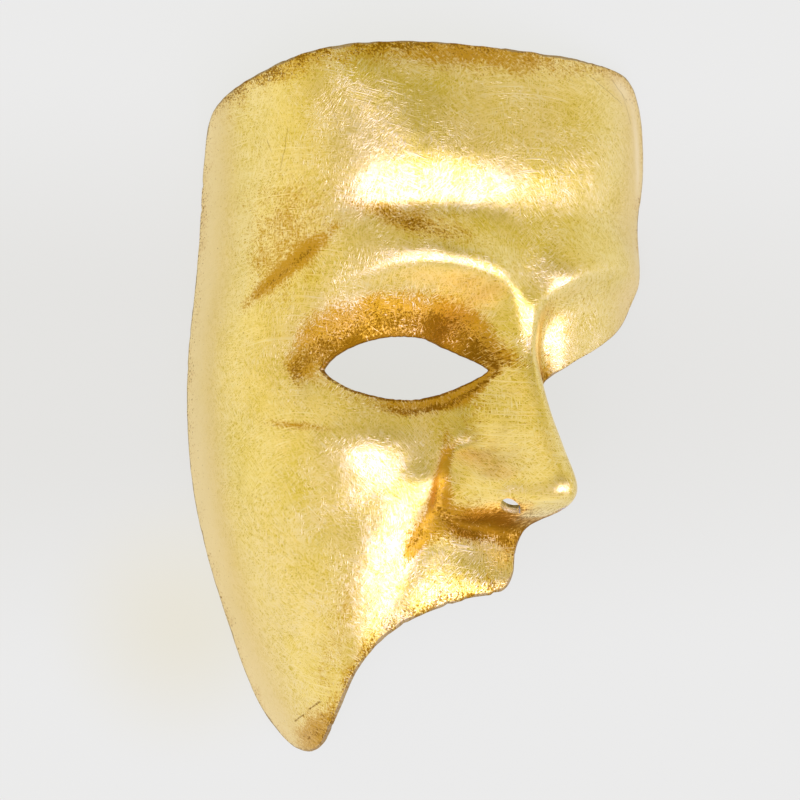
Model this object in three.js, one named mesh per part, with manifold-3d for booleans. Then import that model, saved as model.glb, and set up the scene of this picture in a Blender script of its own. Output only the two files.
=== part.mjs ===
// One-sided half mask of gilded papier-mache: full forehead, one eye hole, the nose and one cheek.
// It lies face up on its rim: +X is the side that the face turns to, +Y goes up the forehead, +Z comes
// out of the face, in millimetres, and the origin is below the middle of the whole mask.
// The face is first made upright and symmetrical in its own frame, with x across, y up from the brow
// line and z forward, as a mould would be, and is then cut to the mask's edge, turned and laid down.

import * as THREE from "three";
import { mergeVertices } from "three/addons/utils/BufferGeometryUtils.js";
import Module from "manifold-3d";

// Driving dimensions, in millimetres and degrees
const THIRD = 70; // hairline to brow, brow to nose base, nose base to chin
const EYE = THIRD * 0.48; // width of an eye, a fifth of the head
const WALL = 2.4; // thickness of the sheet
const LEVEL = 1; // height below which the edge is trimmed to the table
const TURN = 28; // how far the face turns to +X
const NOD = 3; // how far the forehead leans back
const BACK = -88; // depth of the side edges of the mould, behind the brow
const REST = -40; // height of the table below the brow, in the turned frame

// The head's form: at each height, half its width, the depth of its middle line and how square it is
const SECTIONS = [
  { y: 1.3 * THIRD, half: 73, front: -17, square: 0.22 },
  { y: 1.0 * THIRD, half: 73, front: -6, square: 0.22 },
  { y: 0.6 * THIRD, half: 71, front: -1, square: 0.18 },
  { y: 0.2 * THIRD, half: 71, front: 0, square: 0.13 },
  { y: -0.3 * THIRD, half: 73, front: -5, square: 0.1 },
  { y: -0.8 * THIRD, half: 71, front: -7, square: 0.06 },
  { y: -1.3 * THIRD, half: 63, front: -8, square: 0.02 },
  { y: -1.8 * THIRD, half: 51, front: -13, square: 0 },
  { y: -2.3 * THIRD, half: 33, front: -26, square: 0 },
];

const radians = THREE.MathUtils.degToRad;
const UNROLLED = 82; // radius that turns an angle round the head into a length along the sheet

// A smooth value at height y from the named column of the sections, by a cubic through them
function section(y, key) {
  const last = SECTIONS.length - 1;
  let i = SECTIONS.findIndex((row) => y > row.y) - 1;
  if (i < 0) i = y > SECTIONS[0].y ? 0 : last - 1;
  const value = (k) => SECTIONS[THREE.MathUtils.clamp(k, 0, last)][key];
  const height = (k) => SECTIONS[THREE.MathUtils.clamp(k, 0, last)].y;
  const slope = (k) => (value(k + 1) - value(k - 1)) / (height(k + 1) - height(k - 1));
  const span = height(i + 1) - height(i);
  const t = (y - height(i)) / span;
  const t2 = t * t;
  const t3 = t2 * t;
  return (
    (2 * t3 - 3 * t2 + 1) * value(i) +
    (t3 - 2 * t2 + t) * span * slope(i) +
    (3 * t2 - 2 * t3) * value(i + 1) +
    (t3 - t2) * span * slope(i + 1)
  );
}

const hill = (dx, dy, rx, ry) => Math.exp(-((dx / rx) ** 2) - (dy / ry) ** 2);
const band = (d, r) => Math.exp(-((d / r) ** 2));
const rise = (d, soft) => 0.5 * (1 + Math.tanh(d / soft));

// Places on the face, from the thirds: a is the distance from the middle line
const EYE_AT = { a: 1.06 * EYE, y: -0.34 * THIRD };
const BROW_AT = { a: 1.0 * EYE, y: 0.12 * THIRD };
const NASION_Y = -0.14 * THIRD;
const TIP_Y = -0.83 * THIRD;
const NOSE_BASE_Y = -0.965 * THIRD;
const WING_AT = { a: 0.41 * EYE, y: -0.86 * THIRD };
const CHEEKBONE_AT = { a: 1.45 * EYE, y: -0.62 * THIRD };
const MOUTH_Y = -1.33 * THIRD;

// How far each form of the face stands out or goes in, in millimetres
const BOSS = 3.2;
const GLABELLA = 4.4; // the swell between the brows
const BROW_HOLLOW = 2.0; // the hollow above each brow
const TEMPLE = 2.2;
const BROW = 7.0;
const SOCKET = 14.0;
const CORNER = 4.0; // the pit of the socket beside the nose
const LIDS = 7.0;
const NOSE = 32.0;
const BRIDGE = 7.6; // half the width of the nose's ridge at its root
const TIP = 4.0;
const WING = 13.0;
const CREASE = 1.4; // the crease round the wing
const CHEEKBONE = 7.5;
const FOLD = 1.8; // the fold from the nose to the mouth
const FULLNESS = 3.0; // the cheek beside the fold
const LIP = 4.5;

// How far some of them reach over the face, in millimetres
const FADE = 5; // over which a form dies away
const BROW_FADE = 10; // the same at the brow's outer end
const ROOT = 9; // from the nose's root up to where its ridge has died away
const RIDGE_GAIN = 2.6; // how much the ridge widens down to the tip
const TIP_ROUND = { across: 8.5, up: 8 };
const WING_ROUND = { across: 6.5, up: 8 };
const UNDER_ROUND = 3; // the turn to the under side of the nose
const CREASE_ROUND = 10.5; // radius of the crease about the wing
const CREASE_WIDTH = 2.4;
const FOLD_WIDTH = 4.4;
const FULLNESS_AT = 12; // outside the fold
const FULLNESS_WIDTH = 9;
const LIP_FADE = 9;
const MIDDLE_ROUND = 9; // rounding of the forehead across the middle line
const RIDGE_ROUND = 0.5; // the same of the nose's ridge
const ONE_SIDE = { end: 10, fade: 4 }; // past the middle line no socket is formed

// Forehead: two soft bosses, the swell between the brows and the hollow above each brow
function forehead(a, y) {
  const bosses = BOSS * hill(a - 0.85 * EYE, y - 0.6 * THIRD, 0.75 * EYE, 0.27 * THIRD);
  const glabella = GLABELLA * hill(a, y - 0.05 * THIRD, 0.5 * EYE, 0.17 * THIRD);
  const hollow = BROW_HOLLOW * hill(a - 0.95 * EYE, y - 0.36 * THIRD, 0.8 * EYE, 0.11 * THIRD);
  return bosses + glabella - hollow;
}

// Temple: a shallow hollow
function temple(a, y) {
  return -TEMPLE * hill(a - 2.05 * EYE, y - 0.2 * THIRD, 0.4 * EYE, 0.4 * THIRD);
}

// Brow: a ridge along an arch, sharper below than above
function brow(a, y) {
  const above = y - BROW_AT.y * (1 - ((a - BROW_AT.a) / (0.85 * EYE)) ** 2);
  const width = above > 0 ? 0.15 * THIRD : 0.08 * THIRD;
  const ends = rise(a - 0.2 * EYE, FADE) * rise(1.4 * EYE - a, BROW_FADE);
  return BROW * band(above, width) * ends;
}

// Eye socket, deepest beside the nose, with the swell of the lids in it
function socket(a, y) {
  const across = a - EYE_AT.a;
  const up = y - EYE_AT.y;
  const hollow = SOCKET * Math.exp(-((across / EYE) ** 4) - (up / (0.26 * THIRD)) ** 2);
  const corner = CORNER * hill(across + 0.56 * EYE, up - 0.12 * THIRD, 0.24 * EYE, 0.14 * THIRD);
  const lids = LIDS * hill(across, up, 0.78 * EYE, 0.17 * THIRD);
  return lids - hollow - corner;
}

// Nose: the ridge, its tip, the wings with the crease round them, all ended by the under side
function nose(a, y) {
  const down = THREE.MathUtils.clamp((NASION_Y - y) / (NASION_Y - TIP_Y), -0.5, 1.2);
  const height = NOSE * (0.13 + 0.87 * rise(down - 0.5, 0.56));
  const width = BRIDGE + RIDGE_GAIN * THREE.MathUtils.clamp(down, 0, 1);
  const ridge = height * Math.exp(-Math.pow(a / width, 2.5)) * rise(NASION_Y + ROOT - y, FADE);
  const tip = TIP * hill(a, y - TIP_Y, TIP_ROUND.across, TIP_ROUND.up);
  const wing = WING * hill(a - WING_AT.a, y - WING_AT.y, WING_ROUND.across, WING_ROUND.up);
  const under = rise(y - NOSE_BASE_Y, UNDER_ROUND);
  const reach = Math.hypot(a - WING_AT.a, (y - WING_AT.y - 1) / 1.15);
  const crease = CREASE * band(reach - CREASE_ROUND, CREASE_WIDTH) * rise(a - 0.32 * EYE, FADE / 2);
  return (ridge + tip + wing) * under - crease;
}

// Cheek: the cheekbone, the fold from the nose to the mouth and the fullness beside it, the lip
function cheek(a, y) {
  const bone = CHEEKBONE * hill(a - CHEEKBONE_AT.a, y - CHEEKBONE_AT.y, 0.62 * EYE, 0.23 * THIRD);
  const down = WING_AT.y - y;
  const outside = a - 0.62 * EYE - 0.62 * down + 0.006 * down * down;
  const along = rise(down + 1.2 * FADE, FADE) * rise(y - 1.1 * MOUTH_Y, LIP_FADE);
  const fold = FOLD * band(outside, FOLD_WIDTH) * along;
  const full = FULLNESS * band(outside - FULLNESS_AT, FULLNESS_WIDTH) * along;
  const lip = LIP * hill(a, y - 0.97 * MOUTH_Y, 0.75 * EYE, 0.15 * THIRD);
  return bone + full + lip - fold;
}

// The height on the face of height up on the sheet, which is stretched over the under side of the nose
const STRETCH = 5.2;
const STRETCH_REACH = 9;

function heightOf(across, up) {
  const from = (up - NOSE_BASE_Y) / STRETCH_REACH;
  return up - STRETCH * band(across, 0.75 * EYE) * from * Math.exp(-from * from);
}

// A point of the outer face of the mould: across and up are lengths on the sheet
function mould(across, up) {
  const y = heightOf(across, up);
  const angle = across / UNROLLED;
  const sin = Math.sin(angle);
  const cos = Math.cos(angle);
  const square = section(y, "square");
  const deep = section(y, "front") - BACK;
  const x = section(y, "half") * sin * (1 + square * cos * cos);
  const a = Math.hypot(x, RIDGE_ROUND);
  const oneSided = (socket(a, y) + temple(a, y)) * rise(ONE_SIDE.end - x, ONE_SIDE.fade);
  const upper = forehead(Math.hypot(x, MIDDLE_ROUND), y) + brow(a, y);
  const relief = upper + oneSided + nose(a, y) + cheek(a, y);
  const z = BACK + deep * cos * (1 + square * sin * sin) + relief * rise(cos - 0.12, 0.12);
  return new THREE.Vector3(x, y, z);
}

// The turn and the lean that lay the mask on the table
const LAY_DOWN = new THREE.Matrix4()
  .makeTranslation(0, 0, -REST)
  .multiply(new THREE.Matrix4().makeRotationX(-radians(NOD)))
  .multiply(new THREE.Matrix4().makeRotationY(radians(TURN)));

const laid = (across, y) => mould(across, y).applyMatrix4(LAY_DOWN);

// The length along the sheet, on one side, at which height y meets the table plus a clearance
function rimAt(y, side, clearance) {
  let near = 0.3 * UNROLLED;
  let far = 1.57 * UNROLLED;
  const halvings = 40;
  for (let i = 0; i < halvings; i++) {
    const middle = (near + far) / 2;
    if (laid(side * middle, y).z > clearance) near = middle;
    else far = middle;
  }
  return side * near;
}

// The cut edge of the mask, clockwise as it lies. Near and far marks are a height in thirds and a
// clearance over the table in millimetres, and the others are places on the sheet in thirds.
const NEAR_SIDE = [[-1.84, 1], [-1.4, 0.5], [-1.0, 0], [-0.55, 0], [-0.1, 0], [0.3, 0], [0.62, 2], [0.82, 8]];
const HAIRLINE = [[-1.2, 0.98], [-0.8, 1.05], [-0.4, 1.07], [0.05, 1.055], [0.38, 1.03]];
const FAR_SIDE = [[0.97, 4], [0.83, 1], [0.6, 0], [0.3, 0], [0.06, 3]];
const FAR_BROW = [[0.68, -0.11], [0.48, -0.22], [0.28, -0.31]];
const FAR_NOSE = [[0.12, -0.42], [0.11, -0.64], [0.14, -0.82], [0.14, -0.93], [0.08, -1.02]];
const LIP_EDGE = [[0.0, -1.12], [-0.08, -1.27], [-0.32, -1.33]];
const JAW = [[-0.64, -1.43], [-0.92, -1.61], [-1.14, -1.83], [-1.34, -1.98], [-1.52, -1.99]];

function edgeMarks() {
  const onRim = (side) => ([y, clearance]) =>
    new THREE.Vector3(rimAt(y * THIRD, side, clearance), y * THIRD, 0);
  const onSheet = ([across, y]) => new THREE.Vector3(across * THIRD, y * THIRD, 0);
  return [
    ...NEAR_SIDE.map(onRim(-1)),
    ...HAIRLINE.map(onSheet),
    ...FAR_SIDE.map(onRim(1)),
    ...[...FAR_BROW, ...FAR_NOSE, ...LIP_EDGE, ...JAW].map(onSheet),
  ];
}

// Parameters from 0 to 1 along a path on the sheet, spaced evenly over the laid face, and closer
// together where the wanted size is smaller
function evenly(path, count, size) {
  const steps = 12 * count;
  const reach = [0];
  let before = path(0);
  let last = laid(before.x, before.y);
  for (let i = 1; i <= steps; i++) {
    before = path(i / steps);
    const next = laid(before.x, before.y);
    reach.push(reach[i - 1] + next.distanceTo(last) / size(next));
    last = next;
  }
  const params = [];
  let i = 0;
  for (let k = 0; k <= count; k++) {
    const wanted = (reach[steps] * k) / count;
    while (i < steps - 1 && reach[i + 1] < wanted) i++;
    params.push((i + (wanted - reach[i]) / (reach[i + 1] - reach[i])) / steps);
  }
  return params;
}

const RAYS = 112;
const RINGS = 20;
const COARSE = 6.5; // spacing of the rays at the edge
const FINE = 2.0; // the same at the nose
const FINE_REACH = 42; // from the tip of the nose

function edgeRays() {
  const curve = new THREE.CatmullRomCurve3(edgeMarks(), true, "centripetal");
  const tip = laid(0, TIP_Y);
  const size = (at) => COARSE - (COARSE - FINE) * Math.exp(-((at.distanceTo(tip) / FINE_REACH) ** 4));
  const params = evenly((t) => curve.getPoint(t), RAYS, size);
  return params.slice(0, RAYS).map((t) => curve.getPoint(t));
}

// The eye hole on the sheet: an almond round its middle
const HOLE_AT = new THREE.Vector3(-1.06 * EYE, EYE_AT.y, 0);
const HOLE_HALF = { across: 0.8 * EYE, up: 0.145 * THIRD, down: 0.135 * THIRD };
const HOLE_POINTED = 1.45; // 1 makes an oval, more an almond with sharper corners

function holePoint(towards) {
  const from = towards.clone().sub(HOLE_AT);
  const angle = Math.atan2(from.y * 1.5, from.x);
  const sin = Math.sin(angle);
  const half = sin > 0 ? HOLE_HALF.up : HOLE_HALF.down;
  const lift = half * Math.sign(sin) * Math.pow(Math.abs(sin), HOLE_POINTED);
  return new THREE.Vector3(HOLE_AT.x + HOLE_HALF.across * Math.cos(angle), HOLE_AT.y + lift, 0);
}

// The outward direction of the laid face
function outward(across, y) {
  const step = 0.4;
  const sideways = laid(across + step, y).sub(laid(across - step, y));
  const upwards = laid(across, y + step).sub(laid(across, y - step));
  return sideways.cross(upwards).normalize();
}

// A corner of the sheet: the edge that lies on the table is trimmed level with it
function corner(at, depth, isEdge) {
  const face = laid(at.x, at.y);
  const point = face.clone().addScaledVector(outward(at.x, at.y), -depth);
  const level = THREE.MathUtils.clamp(2 - face.z / LEVEL, 0, 1);
  if (isEdge) point.z = THREE.MathUtils.lerp(point.z, face.z < LEVEL ? 0 : face.z, level);
  return point;
}

// The sheet: rings from the eye hole to the edge, outside and inside, joined at both edges
function sheet() {
  const rays = edgeRays();
  const count = rays.length;
  const positions = [];
  for (const depth of [0, WALL])
    for (const end of rays) {
      const start = holePoint(end);
      const hole = laid(start.x, start.y);
      const path = (t) => start.clone().lerp(end, t);
      const size = (point) => 1 + 0.03 * point.distanceTo(hole);
      evenly(path, RINGS, size).forEach((t, ring) =>
        positions.push(...corner(path(t), depth, ring === RINGS)),
      );
    }
  const index = [];
  const quad = (a, b, c, d) => index.push(a, b, c, a, c, d);
  const at = (face, ray, ring) => (face * count + (ray % count)) * (RINGS + 1) + ring;
  for (let i = 0; i < count; i++) {
    for (let j = 0; j < RINGS; j++) {
      quad(at(0, i, j), at(0, i + 1, j), at(0, i + 1, j + 1), at(0, i, j + 1));
      quad(at(1, i, j), at(1, i, j + 1), at(1, i + 1, j + 1), at(1, i + 1, j));
    }
    quad(at(0, i, RINGS), at(0, i + 1, RINGS), at(1, i + 1, RINGS), at(1, i, RINGS));
    quad(at(0, i, 0), at(1, i, 0), at(1, i + 1, 0), at(0, i + 1, 0));
  }
  const geometry = new THREE.BufferGeometry();
  geometry.setAttribute("position", new THREE.Float32BufferAttribute(positions, 3));
  geometry.setIndex(index);
  return geometry;
}

const wasm = await Module();
wasm.setup();

// A closed geometry as a solid that can be cut, and a solid as a geometry
function solid(geometry) {
  const bare = geometry.clone();
  bare.deleteAttribute("normal");
  bare.deleteAttribute("uv");
  const merged = mergeVertices(bare, 1e-3);
  const vertProperties = merged.attributes.position.array;
  const triVerts = new Uint32Array(merged.index.array);
  return new wasm.Manifold(new wasm.Mesh({ numProp: 3, vertProperties, triVerts }));
}

function geometryOf(made) {
  const { vertProperties, triVerts } = made.getMesh();
  const geometry = new THREE.BufferGeometry();
  geometry.setAttribute("position", new THREE.BufferAttribute(vertProperties, 3));
  geometry.setIndex(new THREE.BufferAttribute(triVerts, 1));
  return geometry;
}

// A nostril: an oval punch that comes up through the under side of the nose
const PUNCH_LENGTH = 18;
const PUNCH_END = 8; // above the base of the nose
const PUNCH_SIDES = 14;

function nostrilPunch({ x, z, across, deep }) {
  const punch = new THREE.CylinderGeometry(1, 1, PUNCH_LENGTH, PUNCH_SIDES);
  punch.scale(across, 1, deep);
  punch.translate(x, NOSE_BASE_Y + PUNCH_END - PUNCH_LENGTH / 2, z);
  return punch.applyMatrix4(LAY_DOWN);
}

const NOSTRILS = [
  { x: -0.27 * EYE, z: 6.6, across: 3.2, deep: 3.4 },
  { x: 0.16 * EYE, z: 12, across: 1.7, deep: 1.9 },
];

function shellGeometry() {
  const cut = NOSTRILS.reduce((whole, n) => whole.subtract(solid(nostrilPunch(n))), solid(sheet()));
  const geometry = geometryOf(cut);
  geometry.computeBoundingBox();
  const middle = geometry.boundingBox.getCenter(new THREE.Vector3());
  return geometry.translate(-middle.x, -middle.y, -geometry.boundingBox.min.z);
}

const gold = new THREE.MeshStandardMaterial({ color: 0xd9b44a, roughness: 0.35, metalness: 1 });

const mask = new THREE.Group();
const shell = new THREE.Mesh(shellGeometry(), gold);
shell.name = "mask_shell";
mask.add(shell);

export default mask;
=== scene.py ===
from math import hypot, pi, radians

import bpy
import numpy as np
from mathutils import Matrix, Vector, noise
from mathutils.kdtree import KDTree


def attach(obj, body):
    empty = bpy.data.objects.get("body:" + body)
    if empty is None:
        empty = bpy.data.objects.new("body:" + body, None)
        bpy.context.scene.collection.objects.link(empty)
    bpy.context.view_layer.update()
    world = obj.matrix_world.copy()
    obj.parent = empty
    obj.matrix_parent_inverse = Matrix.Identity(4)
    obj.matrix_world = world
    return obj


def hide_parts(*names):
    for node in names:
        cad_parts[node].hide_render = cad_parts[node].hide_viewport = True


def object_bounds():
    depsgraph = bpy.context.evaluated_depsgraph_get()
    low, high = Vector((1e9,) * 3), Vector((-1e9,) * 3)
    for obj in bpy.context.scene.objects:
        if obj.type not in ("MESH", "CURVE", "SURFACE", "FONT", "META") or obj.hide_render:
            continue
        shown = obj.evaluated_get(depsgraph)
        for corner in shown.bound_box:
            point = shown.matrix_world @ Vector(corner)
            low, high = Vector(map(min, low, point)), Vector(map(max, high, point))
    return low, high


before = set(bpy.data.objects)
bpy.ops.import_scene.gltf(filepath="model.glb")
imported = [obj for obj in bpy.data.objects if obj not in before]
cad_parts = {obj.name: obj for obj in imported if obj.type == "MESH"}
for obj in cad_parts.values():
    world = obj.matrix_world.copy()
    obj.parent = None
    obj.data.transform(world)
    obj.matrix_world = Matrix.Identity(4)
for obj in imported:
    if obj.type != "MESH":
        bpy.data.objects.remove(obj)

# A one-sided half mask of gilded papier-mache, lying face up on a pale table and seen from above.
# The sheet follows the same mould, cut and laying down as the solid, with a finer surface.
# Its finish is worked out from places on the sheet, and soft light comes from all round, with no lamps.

CAD_LOW, CAD_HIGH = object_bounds()
MIDDLE = (CAD_LOW + CAD_HIGH) / 2

MM = 0.001

# Driving dimensions, in millimetres and degrees, as on the solid
THIRD = 70.0  # hairline to brow, brow to nose base, nose base to chin
EYE = THIRD * 0.48  # width of an eye, a fifth of the head
WALL = 2.4  # thickness of the sheet
LEVEL = 1.0  # height below which the edge is trimmed to the table
TURN = 28.0  # how far the face turns to +X
NOD = 3.0  # how far the forehead leans back
BACK = -88.0  # depth of the side edges of the mould, behind the brow
REST = -40.0  # height of the table below the brow, in the turned frame
UNROLLED = 82.0  # radius that turns an angle round the head into a length along the sheet

# The head's form: at each height, half its width, the depth of its middle line and how square it is
SECTIONS = np.array([
    (-2.3 * THIRD, 33, -26, 0.0),
    (-1.8 * THIRD, 51, -13, 0.0),
    (-1.3 * THIRD, 63, -8, 0.02),
    (-0.8 * THIRD, 71, -7, 0.06),
    (-0.3 * THIRD, 73, -5, 0.1),
    (0.2 * THIRD, 71, 0, 0.13),
    (0.6 * THIRD, 71, -1, 0.18),
    (1.0 * THIRD, 73, -6, 0.22),
    (1.3 * THIRD, 73, -17, 0.22),
])
HALF, FRONT, SQUARE = 1, 2, 3  # columns of the sections, after the height

# Places on the face: distance from the middle line and height over the brow line
EYE_AT = (1.06 * EYE, -0.34 * THIRD)
BROW_AT = (1.0 * EYE, 0.12 * THIRD)
NASION_Y = -0.14 * THIRD
TIP_Y = -0.83 * THIRD
NOSE_BASE_Y = -0.965 * THIRD
WING_AT = (0.41 * EYE, -0.86 * THIRD)
CHEEKBONE_AT = (1.45 * EYE, -0.62 * THIRD)
MOUTH_Y = -1.33 * THIRD

# How far each form of the face stands out or goes in, in millimetres
BOSS = 3.2
GLABELLA = 4.4  # the swell between the brows
BROW_HOLLOW = 2.0  # the hollow above each brow
TEMPLE = 2.2
BROW = 7.0
SOCKET = 14.0
CORNER = 4.0  # the pit of the socket beside the nose
LIDS = 7.0
NOSE = 32.0
BRIDGE = 7.6  # half the width of the nose's ridge at its root
TIP = 4.0
WING = 13.0
CREASE = 1.4  # the crease round the wing
CHEEKBONE = 7.5
FOLD = 1.8  # the fold from the nose to the mouth
FULLNESS = 3.0  # the cheek beside the fold
LIP = 4.5

# How far some of them reach over the face, in millimetres, and how they are shaped
FADE = 5  # over which a form dies away
BROW_FADE = 10  # the same at the brow's outer end
ROOT = 9  # from the nose's root up to where its ridge has died away
RIDGE_GAIN = 2.6  # how much the ridge widens down to the tip
RIDGE_POWER = 2.5  # how squarely it falls off to its sides: 2 is a plain bell
ROOT_SHARE = 0.13  # share of the nose's height that its root has
NOSE_GROWTH = 0.56  # over how much of its length the height grows
TIP_ROUND = (8.5, 8)
WING_ROUND = (6.5, 8)
UNDER_ROUND = 3.0  # the turn to the under side of the nose
CREASE_ROUND = 10.5  # radius of the crease about the wing
CREASE_WIDTH = 2.4
CREASE_LIFT = 1  # how much higher than the wing it is centred
CREASE_TALL = 1.15  # how much taller than wide it is
FOLD_FROM = 0.62 * EYE  # from the middle line, beside the wing
FOLD_SLOPE = 0.62
FOLD_BEND = 0.006
FOLD_WIDTH = 4.4
FULLNESS_AT = 12  # outside the fold
FULLNESS_WIDTH = 9
LIP_FADE = 9
MIDDLE_ROUND = 9  # rounding of the forehead across the middle line
RIDGE_ROUND = 0.5  # the same of the nose's ridge
ONE_SIDE = (10, 4)  # where past the middle line the socket ends, and over what length
STRETCH = 5.2  # how far the sheet is drawn over the under side of the nose
STRETCH_REACH = 9
SIDE_END = 0.12  # how near to the mould's side edges the forms die away, as a cosine

# The cut edge, clockwise as it lies. Near and far marks are a height in thirds and a clearance over
# the table in millimetres, and the others are places on the sheet in thirds.
NEAR_SIDE = [(-1.84, 1), (-1.4, 0.5), (-1.0, 0), (-0.55, 0), (-0.1, 0), (0.3, 0), (0.62, 2), (0.82, 8)]
HAIRLINE = [(-1.2, 0.98), (-0.8, 1.05), (-0.4, 1.07), (0.05, 1.055), (0.38, 1.03)]
FAR_SIDE = [(0.97, 4), (0.83, 1), (0.6, 0), (0.3, 0), (0.06, 3)]
FAR_BROW = [(0.68, -0.11), (0.48, -0.22), (0.28, -0.31)]
FAR_NOSE = [(0.12, -0.42), (0.11, -0.64), (0.14, -0.82), (0.14, -0.93), (0.08, -1.02)]
LIP_EDGE = [(0.0, -1.12), (-0.08, -1.27), (-0.32, -1.33)]
JAW = [(-0.64, -1.43), (-0.92, -1.61), (-1.14, -1.83), (-1.34, -1.98), (-1.52, -1.99)]

# The eye hole on the sheet: an almond round its middle
HOLE_AT = (-1.06 * EYE, EYE_AT[1])
HOLE_ACROSS = 0.8 * EYE
HOLE_UP = 0.145 * THIRD
HOLE_DOWN = 0.135 * THIRD
HOLE_POINTED = 1.45  # 1 makes an oval, more an almond with sharper corners
HOLE_SPREAD = 1.5  # how the rays are drawn apart round its flat shape

# Nostrils: place across, height in the nose, half their width and half their depth
NOSTRILS = [(-0.27 * EYE, 6.6, 3.2, 3.4), (0.16 * EYE, 12, 1.7, 1.9)]
PUNCH_LENGTH = 18.0
PUNCH_END = 8  # how far the punches go up from the base of the nose
PUNCH_SIDES = 48

# Unevenness: how far it goes and the size of its lumps, in millimetres, and its seed
CUT_UNEVEN = [(0.5, 14, 1), (0.35, 4, 2)]
HOLE_UNEVEN = [(0.25, 6, 4), (0.18, 1.6, 5)]
LUMPS = [(0.3, 17, 6), (0.12, 6, 7)]
LUMPS_FADE = 4  # from the edge, over which the lumps come in
NICKS = (1.6, 2.2, 3)
NICK_LEVEL = 0.35  # the noise above which there is a nick
SEED_APART = (17.3, 5.1, 29.7)  # shift of the noise from one seed to the next

# Bulge of the two rounded edges, in millimetres, and the ring from which each takes its direction
CUT_BULGE, CUT_FROM = 0.7, -3
HOLE_BULGE, HOLE_FROM = 0.5, 3

# Fineness of the sheet
RAYS = 520
OUTER_RINGS = 130
INNER_RINGS = 40
EDGE_STEPS = 3
GILDED_ROWS = 3  # rows beside each edge of the outside that still have leaf
CURVE_STEPS = 60  # points of the cut edge's curve from mark to mark
PATH_STEPS = 400  # points along a ray from which its rings are spaced
HALVINGS = 40  # rounds of the search for the rim
COARSE = 6.5  # relative spacing of the rays at the edge
FINE = 2.0  # the same at the nose
FINE_REACH = 42  # from the tip of the nose
RING_GROWTH = 0.03  # how the spacing of the rings grows with the distance from the eye hole

# Strokes of glaze on the sheet: start and end in thirds of the face, half width in millimetres
AMBER_SMEARS = [
    ((-0.98, -0.28), (-1.05, -0.42), 6.0),
    ((-0.9, 0.39), (-0.26, 0.2), 5.4),
    ((-1.4, -0.06), (-0.9, 0.28), 2.6),
    ((-1.3, -0.56), (-0.88, -0.6), 1.7),
    ((-0.3, -0.58), (-0.45, -0.95), 2.6),
    ((-0.42, -1.0), (-0.62, -1.18), 4.0),
    ((-1.46, -1.96), (-1.22, -1.88), 4.0),
]
BROWN_SMEARS = [
    ((-1.0, -0.3), (-1.05, -0.4), 4.0),
    ((-0.8, 0.36), (-0.3, 0.2), 3.2),
    ((-1.36, -0.04), (-0.98, 0.22), 1.4),
    ((-0.46, -1.02), (-0.58, -1.14), 2.0),
    ((-1.46, -1.97), (-1.2, -1.87), 2.5),
]

# Wider places of thin amber, of painted pale sheen on the low cheek and jaw, and of leaf worn off, in the
# same terms
FAINT_SMEARS = [
    ((-0.78, -1.05), (-1.2, -1.8), 7.0),
    ((-1.44, -1.9), (-1.22, -1.78), 7.0),
    ((-1.34, 0.5), (-1.22, -0.1), 15.0),
    ((-1.1, 0.55), (-1.05, 0.05), 14.0),
    ((-0.55, 1.0), (0.2, 1.0), 6.0),
]
PAINTED_SHEEN_PLACES = [((-1.2, -0.8), (-1.38, -1.9), 18.0)]
WORN_PLACES = [
    ((0.5, 0.98), (0.66, 0.88), 3.2),
    ((0.67, 0.86), (0.76, 0.45), 2.4),
]
SMEAR_ENDS = 0.35  # how strong a stroke is at its ends

# Scratches and cracks, in the same terms
SCRATCHES = [
    ((-1.16, 0.72), (-1.22, 0.52), 0.25),
    ((-1.3, 0.68), (-1.26, 0.6), 0.22),
    ((-0.92, 0.84), (-0.88, 0.66), 0.2),
    ((0.36, 0.97), (0.58, 0.85), 0.2),
    ((0.5, 0.97), (0.63, 0.86), 0.25),
    ((0.57, 0.92), (0.65, 0.76), 0.2),
]
CRACKS = [
    ((-1.46, -1.87), (-1.34, -1.83), 0.35),
    ((-1.33, -1.82), (-1.2, -1.77), 0.5),
    ((-1.42, -1.93), (-1.36, -1.95), 0.3),
    ((-1.24, -1.82), (-1.2, -1.86), 0.28),
]
LINE_WAVER = 2  # how far a scratch or crack wanders, in millimetres
LINE_FADE = 2  # length of its fading ends

# Amber glaze: how much of it each place keeps
AMBER_SOCKET = 0.95
AMBER_LID = 0.8
AMBER_WING = 0.65
AMBER_NOSE = 0.8
AMBER_HOLLOW = 0.35
AMBER_STROKE = 0.72
AMBER_FAINT = 0.4
AMBER_EDGE = 0.42
AMBER_HAIRLINE = 0.14  # added to that of the edge along the top

# Brown glaze: how much of it each place keeps
BROWN_LID = 0.85
BROWN_LOWER = 0.7
BROWN_WING = 0.55
BROWN_NOSE = 0.95
BROWN_STROKE = 0.5
BROWN_EDGE = 0.35
BROWN_HOLE = 0.8

# Where the glaze lies, in millimetres: pairs are where it begins and where it is full
AMBER_ABOVE = (20, 8)  # from the hole
AMBER_BELOW = (7.5, 3)
AMBER_FROM_EDGE = (14, 0)
BROWN_ABOVE = (17, 2)
BROWN_FROM_EDGE = (3, 0)
BROWN_AT_HOLE = (0.9, 0.3)
LOWER_LINE = (3.4, 1.6)  # the brown line under the hole: how far from it, and half its width
LIDS_APART = 1  # over the hole's middle, where the glaze of the lower lid gives way to the upper one's
AMBER_APART, BROWN_APART = 3, 2  # over what height it does
SOCKET_WIDE, SOCKET_FADE = 1.5 * HOLE_ACROSS, 6  # half the width of the socket's amber, and its fade
NOSE_SIDE = -9  # from the hole's middle, where the lower lid's glaze thickens towards the nose
FAR_LID_SHARE = 0.4  # share of its amber that it has away from the nose
INNER_LID = (3, 8)  # from the hole's middle, where the upper lid's brown thickens, and over what length
OUTER_LID_SHARE = 0.7  # share of its brown that it has outside that
AMBER_WING_LINE = (CREASE_ROUND, 3.2, 0.3 * EYE)  # from the wing's middle, half width, where it begins
BROWN_WING_LINE = (CREASE_ROUND + 0.5, 1.5, 0.36 * EYE)
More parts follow.
